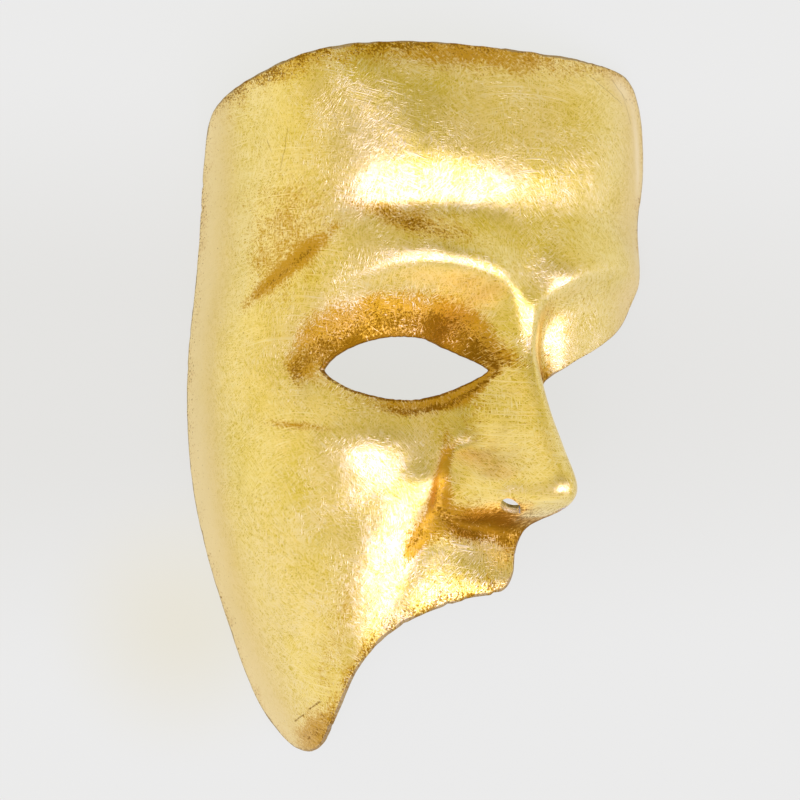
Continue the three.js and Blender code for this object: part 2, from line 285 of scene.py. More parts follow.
WING_FADE = 3
AMBER_UNDER_NOSE = (0.35 * EYE, NOSE_BASE_Y - 3, 17, 7)  # place across, height and two radii
BROWN_UNDER_NOSE = (0.25 * EYE, NOSE_BASE_Y - 4, 13, 5.5)
HOLLOW_REACH = 5.0  # how far round a place the face is compared with it
HOLLOW_DEPTHS = (0.1, 1.0)  # depths of a hollow with no glaze and with all of it
HAIRLINE_BAND = (0.8 * THIRD, 0.95 * THIRD)

# Where the side of the sheet is worn and painted with a pale sheen: how far it faces up, its height and its
# place across
STEEP_SHEEN_FACING = (0.75, 0.45)
STEEP_SHEEN_HEIGHTS = (24, 6)
STEEP_SHEEN_ACROSS = (0, 40)
# The painted pale sheen, with the wear, is also less on the far side
FAR_SIDE_LESS = 0.65  # how much less the far side is worn
WORN_PLACE = 0.8  # how worn the named places are
# Painted sheen: the leaf is painted paler where it slants away from facing up
SHEEN_SLANT_FACING = (0.92, 0.6)  # how far it faces up where it doesn't slant and where it does
# Levels of the painted sheen on the low cheek and jaw
PAINTED_SHEEN_LEVELS = (0.1, 0.9)

# Colours of the finish, as linear light
PALE_GOLD = (0.97, 0.81, 0.37, 1)
LEAF_GOLD = (0.93, 0.68, 0.19, 1)
OLIVE_GOLD = (0.77, 0.56, 0.025, 1)
DEEP_GOLD = (0.5, 0.34, 0.015, 1)
AMBER = (0.57, 0.28, 0.002, 1)
GLAZE_BROWN = (0.27, 0.12, 0.002, 1)
# Pale of the worn leaf and of the painted sheen on the steep low sides
WORN_AND_SHEEN_PALE = (0.82, 0.66, 0.27, 1)
# Colour of the painted sheen on the low cheek and jaw
PAINTED_SHEEN_PALE = (0.94, 0.75, 0.35, 1)
RIM_GREY = (0.3, 0.2, 0.045, 1)
PAPER_GREY = (0.21, 0.22, 0.2, 1)
PAPER_LIGHT = (0.34, 0.34, 0.28, 1)
PAPER_FLECK = (0.07, 0.035, 0.012, 1)

# Noises of the gilding: size of the lumps in millimetres, shift, detail and roughness
BROAD = ((42, 42, 42), (3, 7, 0), 2.0, 0.5)
CLOUD = ((7, 7, 7), (9, 2, 0), 3.0, 0.6)
GRAIN = ((0.8, 0.8, 0.8), (0, 0, 0), 2.0, 0.7)
DENTS = ((4.5, 4.5, 4.5), (2, 8, 0), 2.0, 0.5)
STRENGTH = ((16, 16, 16), (5, 5, 0), 1.0, 0.5)

# Fine strokes in the leaf: their ways in degrees, their width and length, the size of their patches
STROKE_WAYS = (8, 52, 96, 141)
STROKE_SIZE = (0.28, 2.4, 1)
STROKE_PATCH = (13, 13, 13)
STROKE_APART, STROKE_PATCH_APART = 23, 11  # shifts from one way's noise to the next
STROKE_PATCH_SHIFT = 3
STROKE_PATCH_LEVELS = (0.38, 0.62, 0.45, 1.0)

# Longer strokes: what they sweep round in thirds of the face, their width, bends and patches
SWEEP_CENTRES = [(0.1, 0.15), (-1.0, -1.1)]
SWEEP_WIDTH = 0.4
SWEEP_BENDS = (3.2, 3.2, 3.2)
SWEEP_PATCH = (16, 16, 16)
SWEEP_PATCH_APART, SWEEP_PATCH_SHIFT = 7, 31
SWEEP_PATCH_LEVELS = (0.4, 0.6, 0.2, 0.85)

# The leaf: levels between which each coat comes in, and how much of it there is where it is full
STRENGTH_LEVELS = (0.3, 0.55)
CALM = 0.65  # strength of the strokes where they are weakest
CLOUD_RAGGED = 0.5  # how much the finer clouds break up the broad ones
CLOUD_LEVELS, CLOUD_SHARE = (0.42, 0.7), 0.7
# How much painted pale sheen the slanting leaf gets
SHEEN_SLANT_SHARE = 0.65
STROKE_COATS = [
    ((0.08, 0.2), 0.75, PALE_GOLD),
    ((0.1, 0.01), 0.7, OLIVE_GOLD),
    ((0.045, -0.01), 0.75, DEEP_GOLD),
]

# The glaze, in the same terms: clouds, grain and strokes make its edges ragged
CLOUD_RAG, GRAIN_RAG, STROKE_RAG = 0.9, 1.4, 2.4
STROKE_MIDDLE = 0.08  # a usual height of the strokes
THIN_RAG, THIN_BROAD = 0.85, 0.5  # how ragged and how cloudy the thin amber is
THIN_LEVELS, THIN_SHARE = (0.28, 0.8), 0.88
THICK_LEVELS = (0.36, 0.76)
FILLED_GRAIN = 0.3
FILLED_LEVELS = (0.22, 0.05, 0.6, 0.95)  # the last two: how much brown stays on and between strokes

# The wear and the painted sheen over it, in the same terms, with each noise's part in it
WORN_AND_SHEEN_EDGE_SHARE = 0.8
WORN_AND_SHEEN_SHARE = 0.75
MOTTLE_CLOUD, MOTTLE_STROKE = 0.5, 3
# How the painted sheen on the low cheek is mottled, and how much of it there is
MOTTLE_LEVELS, PAINTED_SHEEN_SHARE = (0.25, 0.75), 0.8
CLUSTER_LEVELS = (0.4, 0.62)
EDGE_SPECKS = (8.0, 0.3)  # distances from the edge with no specks and with the most
LONE_SPECKS = 0.3  # share of them outside the clusters
WORN_AND_SHEEN_SPECKS = 0.6  # share of them that is worn off with the leaf
BROAD_SPECKS = (0.4, 0.6, 0.55, 1.3)
SPECK_EDGE, SPECK_THICK, SPECK_AMBER = 0.2, 0.07, 0.05  # how the edge and the glaze favour specks
SPECK_LEVELS, SPECK_SHARE = (0.69, 0.75), 0.75
SCRATCH_SHARE = 0.5
CRACK_DENTS, CRACK_GRAIN = 0.6, 0.4
CRACK_LEVELS = (0.36, 0.5)
RIM_CLOUD, RIM_GRAIN = 3.5, 1.5
RIM_LEVELS, RIM_SHARE = (0.5, 0.0), 0.85

# Roughness and relief of the gilding
LEAF_ROUGH = 0.29
ROUGHER = (0.08, 0.05, 0.1, 0.12, 0.1, 0.3)  # by clouds, strong strokes, amber, brown, wear, rim
WORN_AND_SHEEN_MATT = 0.4
RIM_MATT = 0.6
GRAIN_HEIGHT, GLAZE_HEIGHT, DENT_HEIGHT, SPECK_DEPTH = 0.1, 0.2, 0.8, 0.2
LEAF_RELIEF = 0.0002

# Bare paper: its noises in metres, then its levels, roughness and relief
PULP = ((0.005, 0.005, 0.005), (0, 0, 0), 4.0, 0.65)
PAPER_FIBRE = ((0.0012, 0.0008, 0.0012), (0, 0, 0), 3.0, 0.7)
PULP_LEVELS = (0.35, 0.7)
FLECK_LEVELS, FLECK_SHARE = (0.62, 0.72), 0.6
FIBRE_HEIGHT = 0.4
PAPER_ROUGH = 0.85
PAPER_BUMP = 0.7
PAPER_RELIEF = 0.0006

# The table: its colour, how it glows, and the places in metres of a dim band and of a painted shadow and gold
# reflection, warmer and dimmer, beside the mask's lower left
TABLE_HALF = 3
TABLE_COLOUR = (0.03, 0.0295, 0.013, 1)
TABLE_ROUGH = 0.9
TABLE_GLOW = 0.787
PAINTED_BOUNCE_GLOW = (0.953, 0.914, 0.77, 1)
GLOW_DIM = (0.915, 0.907, 0.862, 1)
GLOW_PLAIN = (0.98, 0.978, 0.95, 1)
PAINTED_BOUNCE_AT = (-0.072, -0.069, 0)
PAINTED_BOUNCE_REACH = (0.0, 0.05)
DIM_MIDDLE = (-0.09, 0.009, 0)
DIM_STRETCH = (0.22, 1, 1)
DIM_REACH = (0.02, 0.1)

# Light from all round: a soft patch above, a weaker one to the right, pale walls and a greyer ring
LIGHT_AT = (-0.14, -0.32, 1)
LIGHT_EDGE = (0.885, 0.99)  # cosines from a patch's middle at which it begins and is full
LIGHT_ABOVE = 4.3
LIGHT_TINT = (0.86, 0.88, 2.35, 1)
SIDE_LIGHT_AT = (0.85, -0.5, 1)
SIDE_LIGHT = 3.9
RING_LEVELS = (0.62, 0.15)
RING_GREY = 0.53
WALL_PALE = 1.0
WALL_TINT = (1.0, 0.985, 0.88, 1)
BRIGHT_SIDE = (-0.14, -0.14, 0)

# Camera: sensor and lens in millimetres, and its place from the middle of the mask in metres
SENSOR = 36
LENS = 170.4
CAMERA_OFFSET = (-0.0047, 0.0003, 1.15)


def section(y, column):
    """A smooth value at the heights y from one column of the sections."""
    heights, values = SECTIONS[:, 0], SECTIONS[:, column]
    last = len(heights) - 1
    i = np.clip(np.searchsorted(heights, y) - 1, 0, last - 1)

    def slope(k):
        low, high = np.clip(k - 1, 0, last), np.clip(k + 1, 0, last)
        return (values[high] - values[low]) / (heights[high] - heights[low])

    span = heights[i + 1] - heights[i]
    t = (y - heights[i]) / span
    t2, t3 = t * t, t * t * t
    start = (2 * t3 - 3 * t2 + 1) * values[i] + (t3 - 2 * t2 + t) * span * slope(i)
    return start + (3 * t2 - 2 * t3) * values[i + 1] + (t3 - t2) * span * slope(i + 1)


def hill(dx, dy, rx, ry):
    """One at no distance, falling off in a round with the given radii."""
    return np.exp(-((dx / rx) ** 2) - (dy / ry) ** 2)


def band(d, r):
    """One on a line, falling off to both sides."""
    return np.exp(-((d / r) ** 2))


def rise(d, soft):
    """From nought to one as d goes from under nought to over it."""
    return 0.5 * (1 + np.tanh(d / soft))


def soft_step(low, high, value):
    """Nought up to low, one from high on and smooth between, or the other way where high is less."""
    t = np.clip((value - low) / (high - low), 0, 1)
    return t * t * (3 - 2 * t)


def unit(vectors):
    """Vectors brought to the length one."""
    return vectors / np.linalg.norm(vectors, axis=-1, keepdims=True)


def forehead(a, y):
    """Two soft bosses, the swell between the brows and the hollow above each brow."""
    bosses = BOSS * hill(a - 0.85 * EYE, y - 0.6 * THIRD, 0.75 * EYE, 0.27 * THIRD)
    glabella = GLABELLA * hill(a, y - 0.05 * THIRD, 0.5 * EYE, 0.17 * THIRD)
    hollow = BROW_HOLLOW * hill(a - 0.95 * EYE, y - 0.36 * THIRD, 0.8 * EYE, 0.11 * THIRD)
    return bosses + glabella - hollow


def temple(a, y):
    """The shallow hollow of the temple."""
    return -TEMPLE * hill(a - 2.05 * EYE, y - 0.2 * THIRD, 0.4 * EYE, 0.4 * THIRD)


def brow(a, y):
    """A ridge along an arch, sharper below than above."""
    above = y - BROW_AT[1] * (1 - ((a - BROW_AT[0]) / (0.85 * EYE)) ** 2)
    width = np.where(above > 0, 0.15 * THIRD, 0.08 * THIRD)
    ends = rise(a - 0.2 * EYE, FADE) * rise(1.4 * EYE - a, BROW_FADE)
    return BROW * band(above, width) * ends


def socket(a, y):
    """The eye socket, deepest beside the nose, with the swell of the lids in it."""
    across, up = a - EYE_AT[0], y - EYE_AT[1]
    hollow = SOCKET * np.exp(-((across / EYE) ** 4) - (up / (0.26 * THIRD)) ** 2)
    corner = CORNER * hill(across + 0.56 * EYE, up - 0.12 * THIRD, 0.24 * EYE, 0.14 * THIRD)
    lids = LIDS * hill(across, up, 0.78 * EYE, 0.17 * THIRD)
    return lids - hollow - corner


def nose(a, y):
    """The ridge, its tip, the wings with the crease round them, all ended by the under side."""
    down = np.clip((NASION_Y - y) / (NASION_Y - TIP_Y), -0.5, 1.2)
    height = NOSE * (ROOT_SHARE + (1 - ROOT_SHARE) * rise(down - 0.5, NOSE_GROWTH))
    width = BRIDGE + RIDGE_GAIN * np.clip(down, 0, 1)
    ridge = height * np.exp(-((a / width) ** RIDGE_POWER)) * rise(NASION_Y + ROOT - y, FADE)
    tip = TIP * hill(a, y - TIP_Y, *TIP_ROUND)
    wing = WING * hill(a - WING_AT[0], y - WING_AT[1], *WING_ROUND)
    under = rise(y - NOSE_BASE_Y, UNDER_ROUND)
    reach = np.hypot(a - WING_AT[0], (y - WING_AT[1] - CREASE_LIFT) / CREASE_TALL)
    crease = CREASE * band(reach - CREASE_ROUND, CREASE_WIDTH) * rise(a - 0.32 * EYE, FADE / 2)
    return (ridge + tip + wing) * under - crease


def cheek(a, y):
    """The cheekbone, the fold from the nose to the mouth and the fullness beside it, and the lip."""
    bone = CHEEKBONE * hill(a - CHEEKBONE_AT[0], y - CHEEKBONE_AT[1], 0.62 * EYE, 0.23 * THIRD)
    down = WING_AT[1] - y
    outside = a - FOLD_FROM - FOLD_SLOPE * down + FOLD_BEND * down * down
    along = rise(WING_AT[1] + 1.2 * FADE - y, FADE) * rise(y - 1.1 * MOUTH_Y, LIP_FADE)
    fold = FOLD * band(outside, FOLD_WIDTH) * along
    full = FULLNESS * band(outside - FULLNESS_AT, FULLNESS_WIDTH) * along
    lip = LIP * hill(a, y - 0.97 * MOUTH_Y, 0.75 * EYE, 0.15 * THIRD)
    return bone + full + lip - fold


def face_place(across, up):
    """The distance from the middle line and the height on the face of a place on the sheet."""
    above = (up - NOSE_BASE_Y) / STRETCH_REACH
    y = up - STRETCH * band(across, 0.75 * EYE) * above * np.exp(-above * above)
    angle = across / UNROLLED
    x = section(y, HALF) * np.sin(angle) * (1 + section(y, SQUARE) * np.cos(angle) ** 2)
    return x, y


def mould(across, up):
    """Points of the upright face, from places on the sheet."""
    x, y = face_place(across, up)
    sin, cos = np.sin(across / UNROLLED), np.cos(across / UNROLLED)
    deep = section(y, FRONT) - BACK
    a = np.hypot(x, RIDGE_ROUND)
    one_sided = (socket(a, y) + temple(a, y)) * rise(ONE_SIDE[0] - x, ONE_SIDE[1])
    relief = forehead(np.hypot(x, MIDDLE_ROUND), y) + brow(a, y) + one_sided + nose(a, y) + cheek(a, y)
    z = BACK + deep * cos * (1 + section(y, SQUARE) * sin * sin) + relief * rise(cos - SIDE_END, SIDE_END)
    return np.stack([x, y, z], -1)


LAY_DOWN = np.array(Matrix.Rotation(-radians(NOD), 3, "X") @ Matrix.Rotation(radians(TURN), 3, "Y"))


def laid(across, up):
    """Points of the face as it lies, with the table at no height."""
    return mould(across, up) @ LAY_DOWN.T - np.array([0, 0, REST])


def outward(across, up):
    """The outward directions of the laid face."""
    step = 0.4
    sideways = laid(across + step, up) - laid(across - step, up)
    upwards = laid(across, up + step) - laid(across, up - step)
    return unit(np.cross(sideways, upwards))


def rim_at(y, side, clearance):
    """The place on the sheet at which height y meets the table plus a clearance."""
    near, far = 0.3 * UNROLLED, 1.57 * UNROLLED
    for _ in range(HALVINGS):
        middle = (near + far) / 2
        if laid(np.array(side * middle), np.array(y))[2] > clearance:
            near = middle
        else:
            far = middle
    return (side * near, y)


def edge_marks():
    """The marks of the cut edge as places on the sheet."""
    marks = [rim_at(y * THIRD, -1, clearance) for y, clearance in NEAR_SIDE]
    marks += [(x * THIRD, y * THIRD) for x, y in HAIRLINE]
    marks += [rim_at(y * THIRD, 1, clearance) for y, clearance in FAR_SIDE]
    marks += [(x * THIRD, y * THIRD) for x, y in FAR_BROW + FAR_NOSE + LIP_EDGE + JAW]
    return np.array(marks)


def smooth_loop(marks, per_mark):
    """A closed centripetal curve through the marks."""
    points = []
    for i in range(len(marks)):
        p = [marks[(i + k) % len(marks)] for k in (-1, 0, 1, 2)]
        gap = [np.sqrt(np.linalg.norm(p[k + 1] - p[k])) for k in range(3)]
        before = (p[1] - p[0]) / gap[0] - (p[2] - p[0]) / (gap[0] + gap[1]) + (p[2] - p[1]) / gap[1]
        after = (p[2] - p[1]) / gap[1] - (p[3] - p[1]) / (gap[1] + gap[2]) + (p[3] - p[2]) / gap[2]
        m1, m2 = before * gap[1], after * gap[1]
        t = (np.arange(per_mark) / per_mark)[:, None]
        square_part = 3 * (p[2] - p[1]) - 2 * m1 - m2
        cube_part = 2 * (p[1] - p[2]) + m1 + m2
        points.append(p[1] + m1 * t + square_part * t**2 + cube_part * t**3)
    return np.concatenate(points)


def edge_rays():
    """The ends of the rays on the cut edge, closer together at the nose."""
    loop = smooth_loop(edge_marks(), CURVE_STEPS)
    loop = np.concatenate([loop, loop[:1]])
    places = laid(loop[:, 0], loop[:, 1])
    from_tip = np.linalg.norm(places - laid(np.array(0.0), np.array(TIP_Y)), axis=1)
    size = COARSE - (COARSE - FINE) * np.exp(-((from_tip / FINE_REACH) ** 4))
    reach = np.cumsum(np.linalg.norm(np.diff(places, axis=0), axis=1) / size[1:])
    reach = np.concatenate([[0], reach])
    wanted = np.linspace(0, reach[-1], RAYS, endpoint=False)
    return np.stack([np.interp(wanted, reach, loop[:, k]) for k in (0, 1)], -1)


def hole_rays(ends):
    """The starts of the rays on the almond of the eye hole."""
    angle = np.arctan2((ends[:, 1] - HOLE_AT[1]) * HOLE_SPREAD, ends[:, 0] - HOLE_AT[0])
    sin = np.sin(angle)
    half = np.where(sin > 0, HOLE_UP, HOLE_DOWN)
    up = half * np.sign(sin) * np.abs(sin) ** HOLE_POINTED
    return np.stack([HOLE_AT[0] + HOLE_ACROSS * np.cos(angle), HOLE_AT[1] + up], -1)


def ring_places(starts, ends, rings):
    """Places on the sheet, ray by ring, spaced evenly over the face and closer at the eye hole."""
    fine = np.linspace(0, 1, PATH_STEPS)
    places = starts[:, None] + (ends - starts)[:, None] * fine[None, :, None]
    points = laid(places[..., 0], places[..., 1])
    size = 1 + RING_GROWTH * np.linalg.norm(points - points[:, :1], axis=-1)
    steps = np.linalg.norm(np.diff(points, axis=1), axis=-1) / size[:, 1:]
    reach = np.concatenate([np.zeros((len(ends), 1)), np.cumsum(steps, axis=1)], axis=1)
    share = np.linspace(0, 1, rings + 1)
    t = np.stack([np.interp(share * row[-1], row, fine) for row in reach])
    return starts[:, None] + (ends - starts)[:, None] * t[..., None]


def scatter(points, size, seed):
    """Even, seeded noise from -1 to 1 at points, with lumps of the given size in millimetres."""
    shift = Vector([seed * apart for apart in SEED_APART])
    flat = points.reshape(-1, 3) / size
    values = [noise.noise(Vector(p) + shift) for p in flat]
    return np.array(values).reshape(points.shape[:-1])


def unevenness(points, layers):
    """Noise at points in layers of several sizes."""
    return sum(amount * scatter(points, size, seed) for amount, size, seed in layers)


def inward_wobble(ends, starts):
    """The ends of the rays, drawn in a little, with nicks, where the shears cut unevenly."""
    places = laid(ends[:, 0], ends[:, 1])
    depth, size, seed = NICKS
    nicks = np.clip(scatter(places, size, seed) - NICK_LEVEL, 0, 1) * depth
    return ends + unit(starts - ends) * (np.abs(unevenness(places, CUT_UNEVEN)) + nicks)[:, None]


def hole_wobble(starts):
    """The starts of the rays, worn a little unevenly round the eye hole."""
    places = laid(starts[:, 0], starts[:, 1])
    return starts + unit(starts - np.array(HOLE_AT)) * unevenness(places, HOLE_UNEVEN)[:, None]


def hollowness(across, up, reach):
    """How far the face round a place stands above it: over nought in a hollow, under it on a ridge."""
    here = laid(across, up)
    ways = ((1, 0), (-1, 0), (0, 1), (0, -1))
    around = sum(laid(across + dx * reach, up + dy * reach) for dx, dy in ways) / len(ways)
    return np.sum((around - here) * outward(across, up), axis=-1)


def smear(across, up, start, end, width):
    """A soft stroke between two places on the sheet, in thirds of the face, fainter at its ends."""
    ax, ay = start[0] * THIRD, start[1] * THIRD
    bx, by = end[0] * THIRD, end[1] * THIRD
    length = (bx - ax) ** 2 + (by - ay) ** 2
    t = np.clip(((across - ax) * (bx - ax) + (up - ay) * (by - ay)) / length, 0, 1)
    from_line = np.hypot(across - ax - t * (bx - ax), up - ay - t * (by - ay))
    return band(from_line, width) * (SMEAR_ENDS + (1 - SMEAR_ENDS) * np.sin(pi * t))


def smears(across, up, strokes):
    """Several soft strokes together."""
    return sum(smear(across, up, *stroke) for stroke in strokes)


def wing_glaze(a, y, reach, width, begins):
    """Glaze in the crease beside and under the wing of the nose."""
    crease = band(np.hypot(a - WING_AT[0], y - WING_AT[1]) - reach, width)
    return crease * rise(a - begins, WING_FADE) * rise(WING_AT[1] + WING_FADE - y, WING_FADE)


def patch(a, y, middle_a, middle_y, across, up):
    """A round patch of glaze at a place on the face."""
    return hill(a - middle_a, y - middle_y, across, up)


def amber_amount(across, up, from_hole, from_edge):
    """Where the thin amber glaze was left, from nought to one."""
    x, y = face_place(across, up)
    a = np.abs(x)
    above = rise(up - HOLE_AT[1] - LIDS_APART, AMBER_APART)
    sides = rise(SOCKET_WIDE - np.abs(across - HOLE_AT[0]), SOCKET_FADE)
    to_nose = FAR_LID_SHARE + (1 - FAR_LID_SHARE) * rise(across - HOLE_AT[0] - NOSE_SIDE, FADE)
    amount = AMBER_SOCKET * above * soft_step(*AMBER_ABOVE, from_hole) * sides
    amount += AMBER_LID * (1 - above) * soft_step(*AMBER_BELOW, from_hole) * to_nose
    amount += AMBER_WING * wing_glaze(a, y, *AMBER_WING_LINE)
    amount += AMBER_NOSE * patch(a, y, *AMBER_UNDER_NOSE)
    amount += AMBER_HOLLOW * soft_step(*HOLLOW_DEPTHS, hollowness(across, up, HOLLOW_REACH))
    amount += AMBER_STROKE * smears(across, up, AMBER_SMEARS) + AMBER_FAINT * smears(across, up, FAINT_SMEARS)
    edge = AMBER_EDGE + AMBER_HAIRLINE * soft_step(*HAIRLINE_BAND, up)
    return np.clip(amount + edge * soft_step(*AMBER_FROM_EDGE, from_edge), 0, 1)


def brown_amount(across, up, from_hole, from_edge):
    """Where the dark brown glaze lies thickest, from nought to one."""
    x, y = face_place(across, up)
    a = np.abs(x)
    above = rise(up - HOLE_AT[1] - LIDS_APART, BROWN_APART)
    inner = rise(across - HOLE_AT[0] - INNER_LID[0], INNER_LID[1])
    inner = OUTER_LID_SHARE + (1 - OUTER_LID_SHARE) * inner
    to_nose = rise(across - HOLE_AT[0] - NOSE_SIDE, FADE)
    amount = BROWN_LID * above * soft_step(*BROWN_ABOVE, from_hole) * inner
    amount += BROWN_LOWER * (1 - above) * band(from_hole - LOWER_LINE[0], LOWER_LINE[1]) * to_nose
    amount += BROWN_WING * wing_glaze(a, y, *BROWN_WING_LINE)
    amount += BROWN_NOSE * patch(a, y, *BROWN_UNDER_NOSE)
    amount += BROWN_STROKE * smears(across, up, BROWN_SMEARS)
    amount += BROWN_EDGE * soft_step(*BROWN_FROM_EDGE, from_edge)
    return np.clip(amount + BROWN_HOLE * soft_step(*BROWN_AT_HOLE, from_hole), 0, 1)


def wear_and_sheen_amount(across, up, facing, height):
    """How far the leaf shows wear and a painted pale sheen on the sheet's steep low sides, and wear at the
    far top corner.
    """
    steep = soft_step(*STEEP_SHEEN_FACING, facing) * soft_step(*STEEP_SHEEN_HEIGHTS, height)
    steep *= 1 - FAR_SIDE_LESS * soft_step(*STEEP_SHEEN_ACROSS, across)
    return np.clip(steep + WORN_PLACE * smears(across, up, WORN_PLACES), 0, 1)


def edge_round(outer_row, inner_row, away, bulge):
    """The rows between the outer and the inner row of an edge, on a rounded profile."""
    rows = []
    for k in range(1, EDGE_STEPS + 1):
        angle = pi * k / (EDGE_STEPS + 1)
        share = (1 - np.cos(angle)) / 2
        rows.append(outer_row * (1 - share) + inner_row * share + away * bulge * np.sin(angle))
    return rows


def table_level(points, face):
    """The inner row of the edge, trimmed level with the outer one where that lies on the table."""
    share = np.clip(2 - face[:, 2] / LEVEL, 0, 1)[:, None]
    goal = points.copy()
    goal[:, 2] = np.where(face[:, 2] < LEVEL, 0, face[:, 2])
    return points * (1 - share) + goal * share


def off_table(points):
    """The points with none below the table."""
    return np.concatenate([points[..., :2], np.maximum(points[..., 2:], 0)], -1)


def over_all_rows(values):
    """Values of the outside on every row of the sheet: the edges take the next row's, the inside none."""
    rows = values.swapaxes(0, 1)
    cut_edge = rows[-1:].repeat(EDGE_STEPS, axis=0)
    inside = np.zeros_like(rows[:1]).repeat(INNER_RINGS + 1, axis=0)
    hole_edge = rows[:1].repeat(EDGE_STEPS, axis=0)
    return np.concatenate([rows, cut_edge, inside, hole_edge])


def sheet_fields(across, up, outer, normal, from_hole, from_edge):
    """What the finish has to know of each point: its glaze, its wear with the painted sheen of the steep
    sides and the low cheek, its slant for painted sheen, and its place.
    """
    outside = {
        "amber": amber_amount(across, up, from_hole, from_edge),
        "brown": brown_amount(across, up, from_hole, from_edge),
        "painted_sheen": soft_step(*PAINTED_SHEEN_LEVELS, smears(across, up, PAINTED_SHEEN_PLACES)),
        "edge_distance": from_edge,
        "wear_and_sheen": wear_and_sheen_amount(across, up, normal[..., 2], outer[..., 2]),
        "slant_sheen": soft_step(*SHEEN_SLANT_FACING, normal[..., 2]),
    }
    fields = {name: over_all_rows(values).ravel() for name, values in outside.items()}
    place = np.stack([across, up, np.zeros_like(up)], -1)
    fields["sheet_place"] = over_all_rows(place).reshape(-1, 3)
    return fields


def make_sheet():
    """The mask's sheet in millimetres: points, faces, which points are bare, and the points' fields."""
    true_ends = edge_rays()
    starts = hole_wobble(hole_rays(true_ends))
    ends = inward_wobble(true_ends, starts)
    outer_at = ring_places(starts, ends, OUTER_RINGS)
    inner_at = ring_places(starts, ends, INNER_RINGS)
    across, up = outer_at[..., 0], outer_at[..., 1]
    outer, normal = laid(across, up), outward(across, up)
    steps = np.linalg.norm(np.diff(outer, axis=1), axis=-1)
    from_hole = np.concatenate([np.zeros((RAYS, 1)), np.cumsum(steps, axis=1)], axis=1)
    from_edge = from_hole[:, -1:] - from_hole
    outer = outer + normal * (unevenness(outer, LUMPS) * soft_step(0, LUMPS_FADE, from_edge))[..., None]
    inner = laid(inner_at[..., 0], inner_at[..., 1]) - WALL * outward(inner_at[..., 0], inner_at[..., 1])
    inner[:, -1] = table_level(inner[:, -1], outer[:, -1])
    outer[:, -1] = off_table(outer[:, -1])
    inner = off_table(inner)

    cut_edge = edge_round(outer[:, -1], inner[:, -1], unit(outer[:, -1] - outer[:, CUT_FROM]), CUT_BULGE)
    hole_edge = edge_round(outer[:, 0], inner[:, 0], unit(outer[:, 0] - outer[:, HOLE_FROM]), HOLE_BULGE)
    rows = [outer[:, j] for j in range(OUTER_RINGS + 1)] + [off_table(row) for row in cut_edge]
    rows += [inner[:, j] for j in range(INNER_RINGS, -1, -1)] + hole_edge[::-1]
    points = np.concatenate(rows)
    numbers = np.arange(len(points)).reshape(len(rows), RAYS)
    faces = [ring_faces(numbers[k], numbers[(k + 1) % len(rows)]) for k in range(len(rows))]
    is_bare = np.zeros(len(points), bool)
    is_bare[(OUTER_RINGS + GILDED_ROWS) * RAYS:(len(rows) - GILDED_ROWS) * RAYS] = True
    fields = sheet_fields(across, up, outer, normal, from_hole, from_edge)
    return points, np.concatenate(faces), is_bare, fields


def ring_faces(first, second):
    """Four-sided faces between two closed rows of vertex numbers."""
    return np.stack([first, np.roll(first, -1), np.roll(second, -1), second], -1)


def new_mesh(name, points, faces):
    """A new object in the scene, from points and faces."""
    mesh = bpy.data.meshes.new(name)
    mesh.from_pydata(points.tolist(), [], faces)
    mesh.validate()
    thing = bpy.data.objects.new(name, mesh)
    bpy.context.scene.collection.objects.link(thing)
    return thing


def nostril_punch(x, z, across, deep):
    """An oval punch that comes up through the under side of the nose, in millimetres."""
    angles = np.linspace(0, 2 * pi, PUNCH_SIDES, endpoint=False)
    circle = np.stack([x + across * np.cos(angles), z + deep * np.sin(angles)], -1)
    top = NOSE_BASE_Y + PUNCH_END
    rings = [np.insert(circle, 1, y, axis=1) for y in (top - PUNCH_LENGTH, top)]
    points = np.concatenate(rings) @ LAY_DOWN.T - np.array([0, 0, REST])
    low = np.arange(PUNCH_SIDES)
    high = low + PUNCH_SIDES
    walls = np.stack([low, high, np.roll(high, -1), np.roll(low, -1)], -1)
    return new_mesh("nostril_punch", points, walls.tolist() + [low.tolist(), high[::-1].tolist()])


def cut_nostrils(shell):
    """Cuts the two nostrils out of the sheet, and leaves a plain mesh."""
    for nostril in NOSTRILS:
        punch = nostril_punch(*nostril)
        cut = shell.modifiers.new("nostril", "BOOLEAN")
        cut.operation, cut.solver, cut.object = "DIFFERENCE", "MANIFOLD", punch
        done = bpy.data.meshes.new_from_object(shell.evaluated_get(bpy.context.evaluated_depsgraph_get()))
        shell.modifiers.clear()
        old, shell.data = shell.data, done
        bpy.data.meshes.remove(old)
        bpy.data.objects.remove(punch)


def carry_over(shell, points, is_bare, fields):
    """Gives each vertex the fields of the nearest point of the uncut sheet, and each face its finish."""
    tree = KDTree(len(points))
    for i, point in enumerate(points):
        tree.insert(point, i)
    tree.balance()
    nearest = np.array([tree.find(vertex.co)[1] for vertex in shell.data.vertices])
    for name, values in fields.items():
        kind, part = ("FLOAT_VECTOR", "vector") if values.ndim > 1 else ("FLOAT", "value")
        field = shell.data.attributes.new(name, kind, "POINT")
        field.data.foreach_set(part, values[nearest].ravel().astype(np.float32))
    bare = is_bare[nearest]
    for face in shell.data.polygons:
        face.use_smooth = True
        face.material_index = int(np.mean(bare[list(face.vertices)]) > 0.5)


def make_mask():
    """The mask as one piece, in metres, over the same spot of the table as the solid."""
    points, faces, is_bare, fields = make_sheet()
    shell = new_mesh("gilded_sheet", points, faces.tolist())
    cut_nostrils(shell)
    shell.data.materials.clear()
    shell.data.materials.append(gilding())
    shell.data.materials.append(bare_paper())
    carry_over(shell, points, is_bare, fields)
    low, high = points.min(0), points.max(0)
    shift = Matrix.Translation((MIDDLE.x, MIDDLE.y, CAD_LOW.z))
    centre = Matrix.Translation((-(low[0] + high[0]) / 2, -(low[1] + high[1]) / 2, -low[2]))
    shell.data.transform(shift @ Matrix.Scale(MM, 4) @ centre)
    return shell


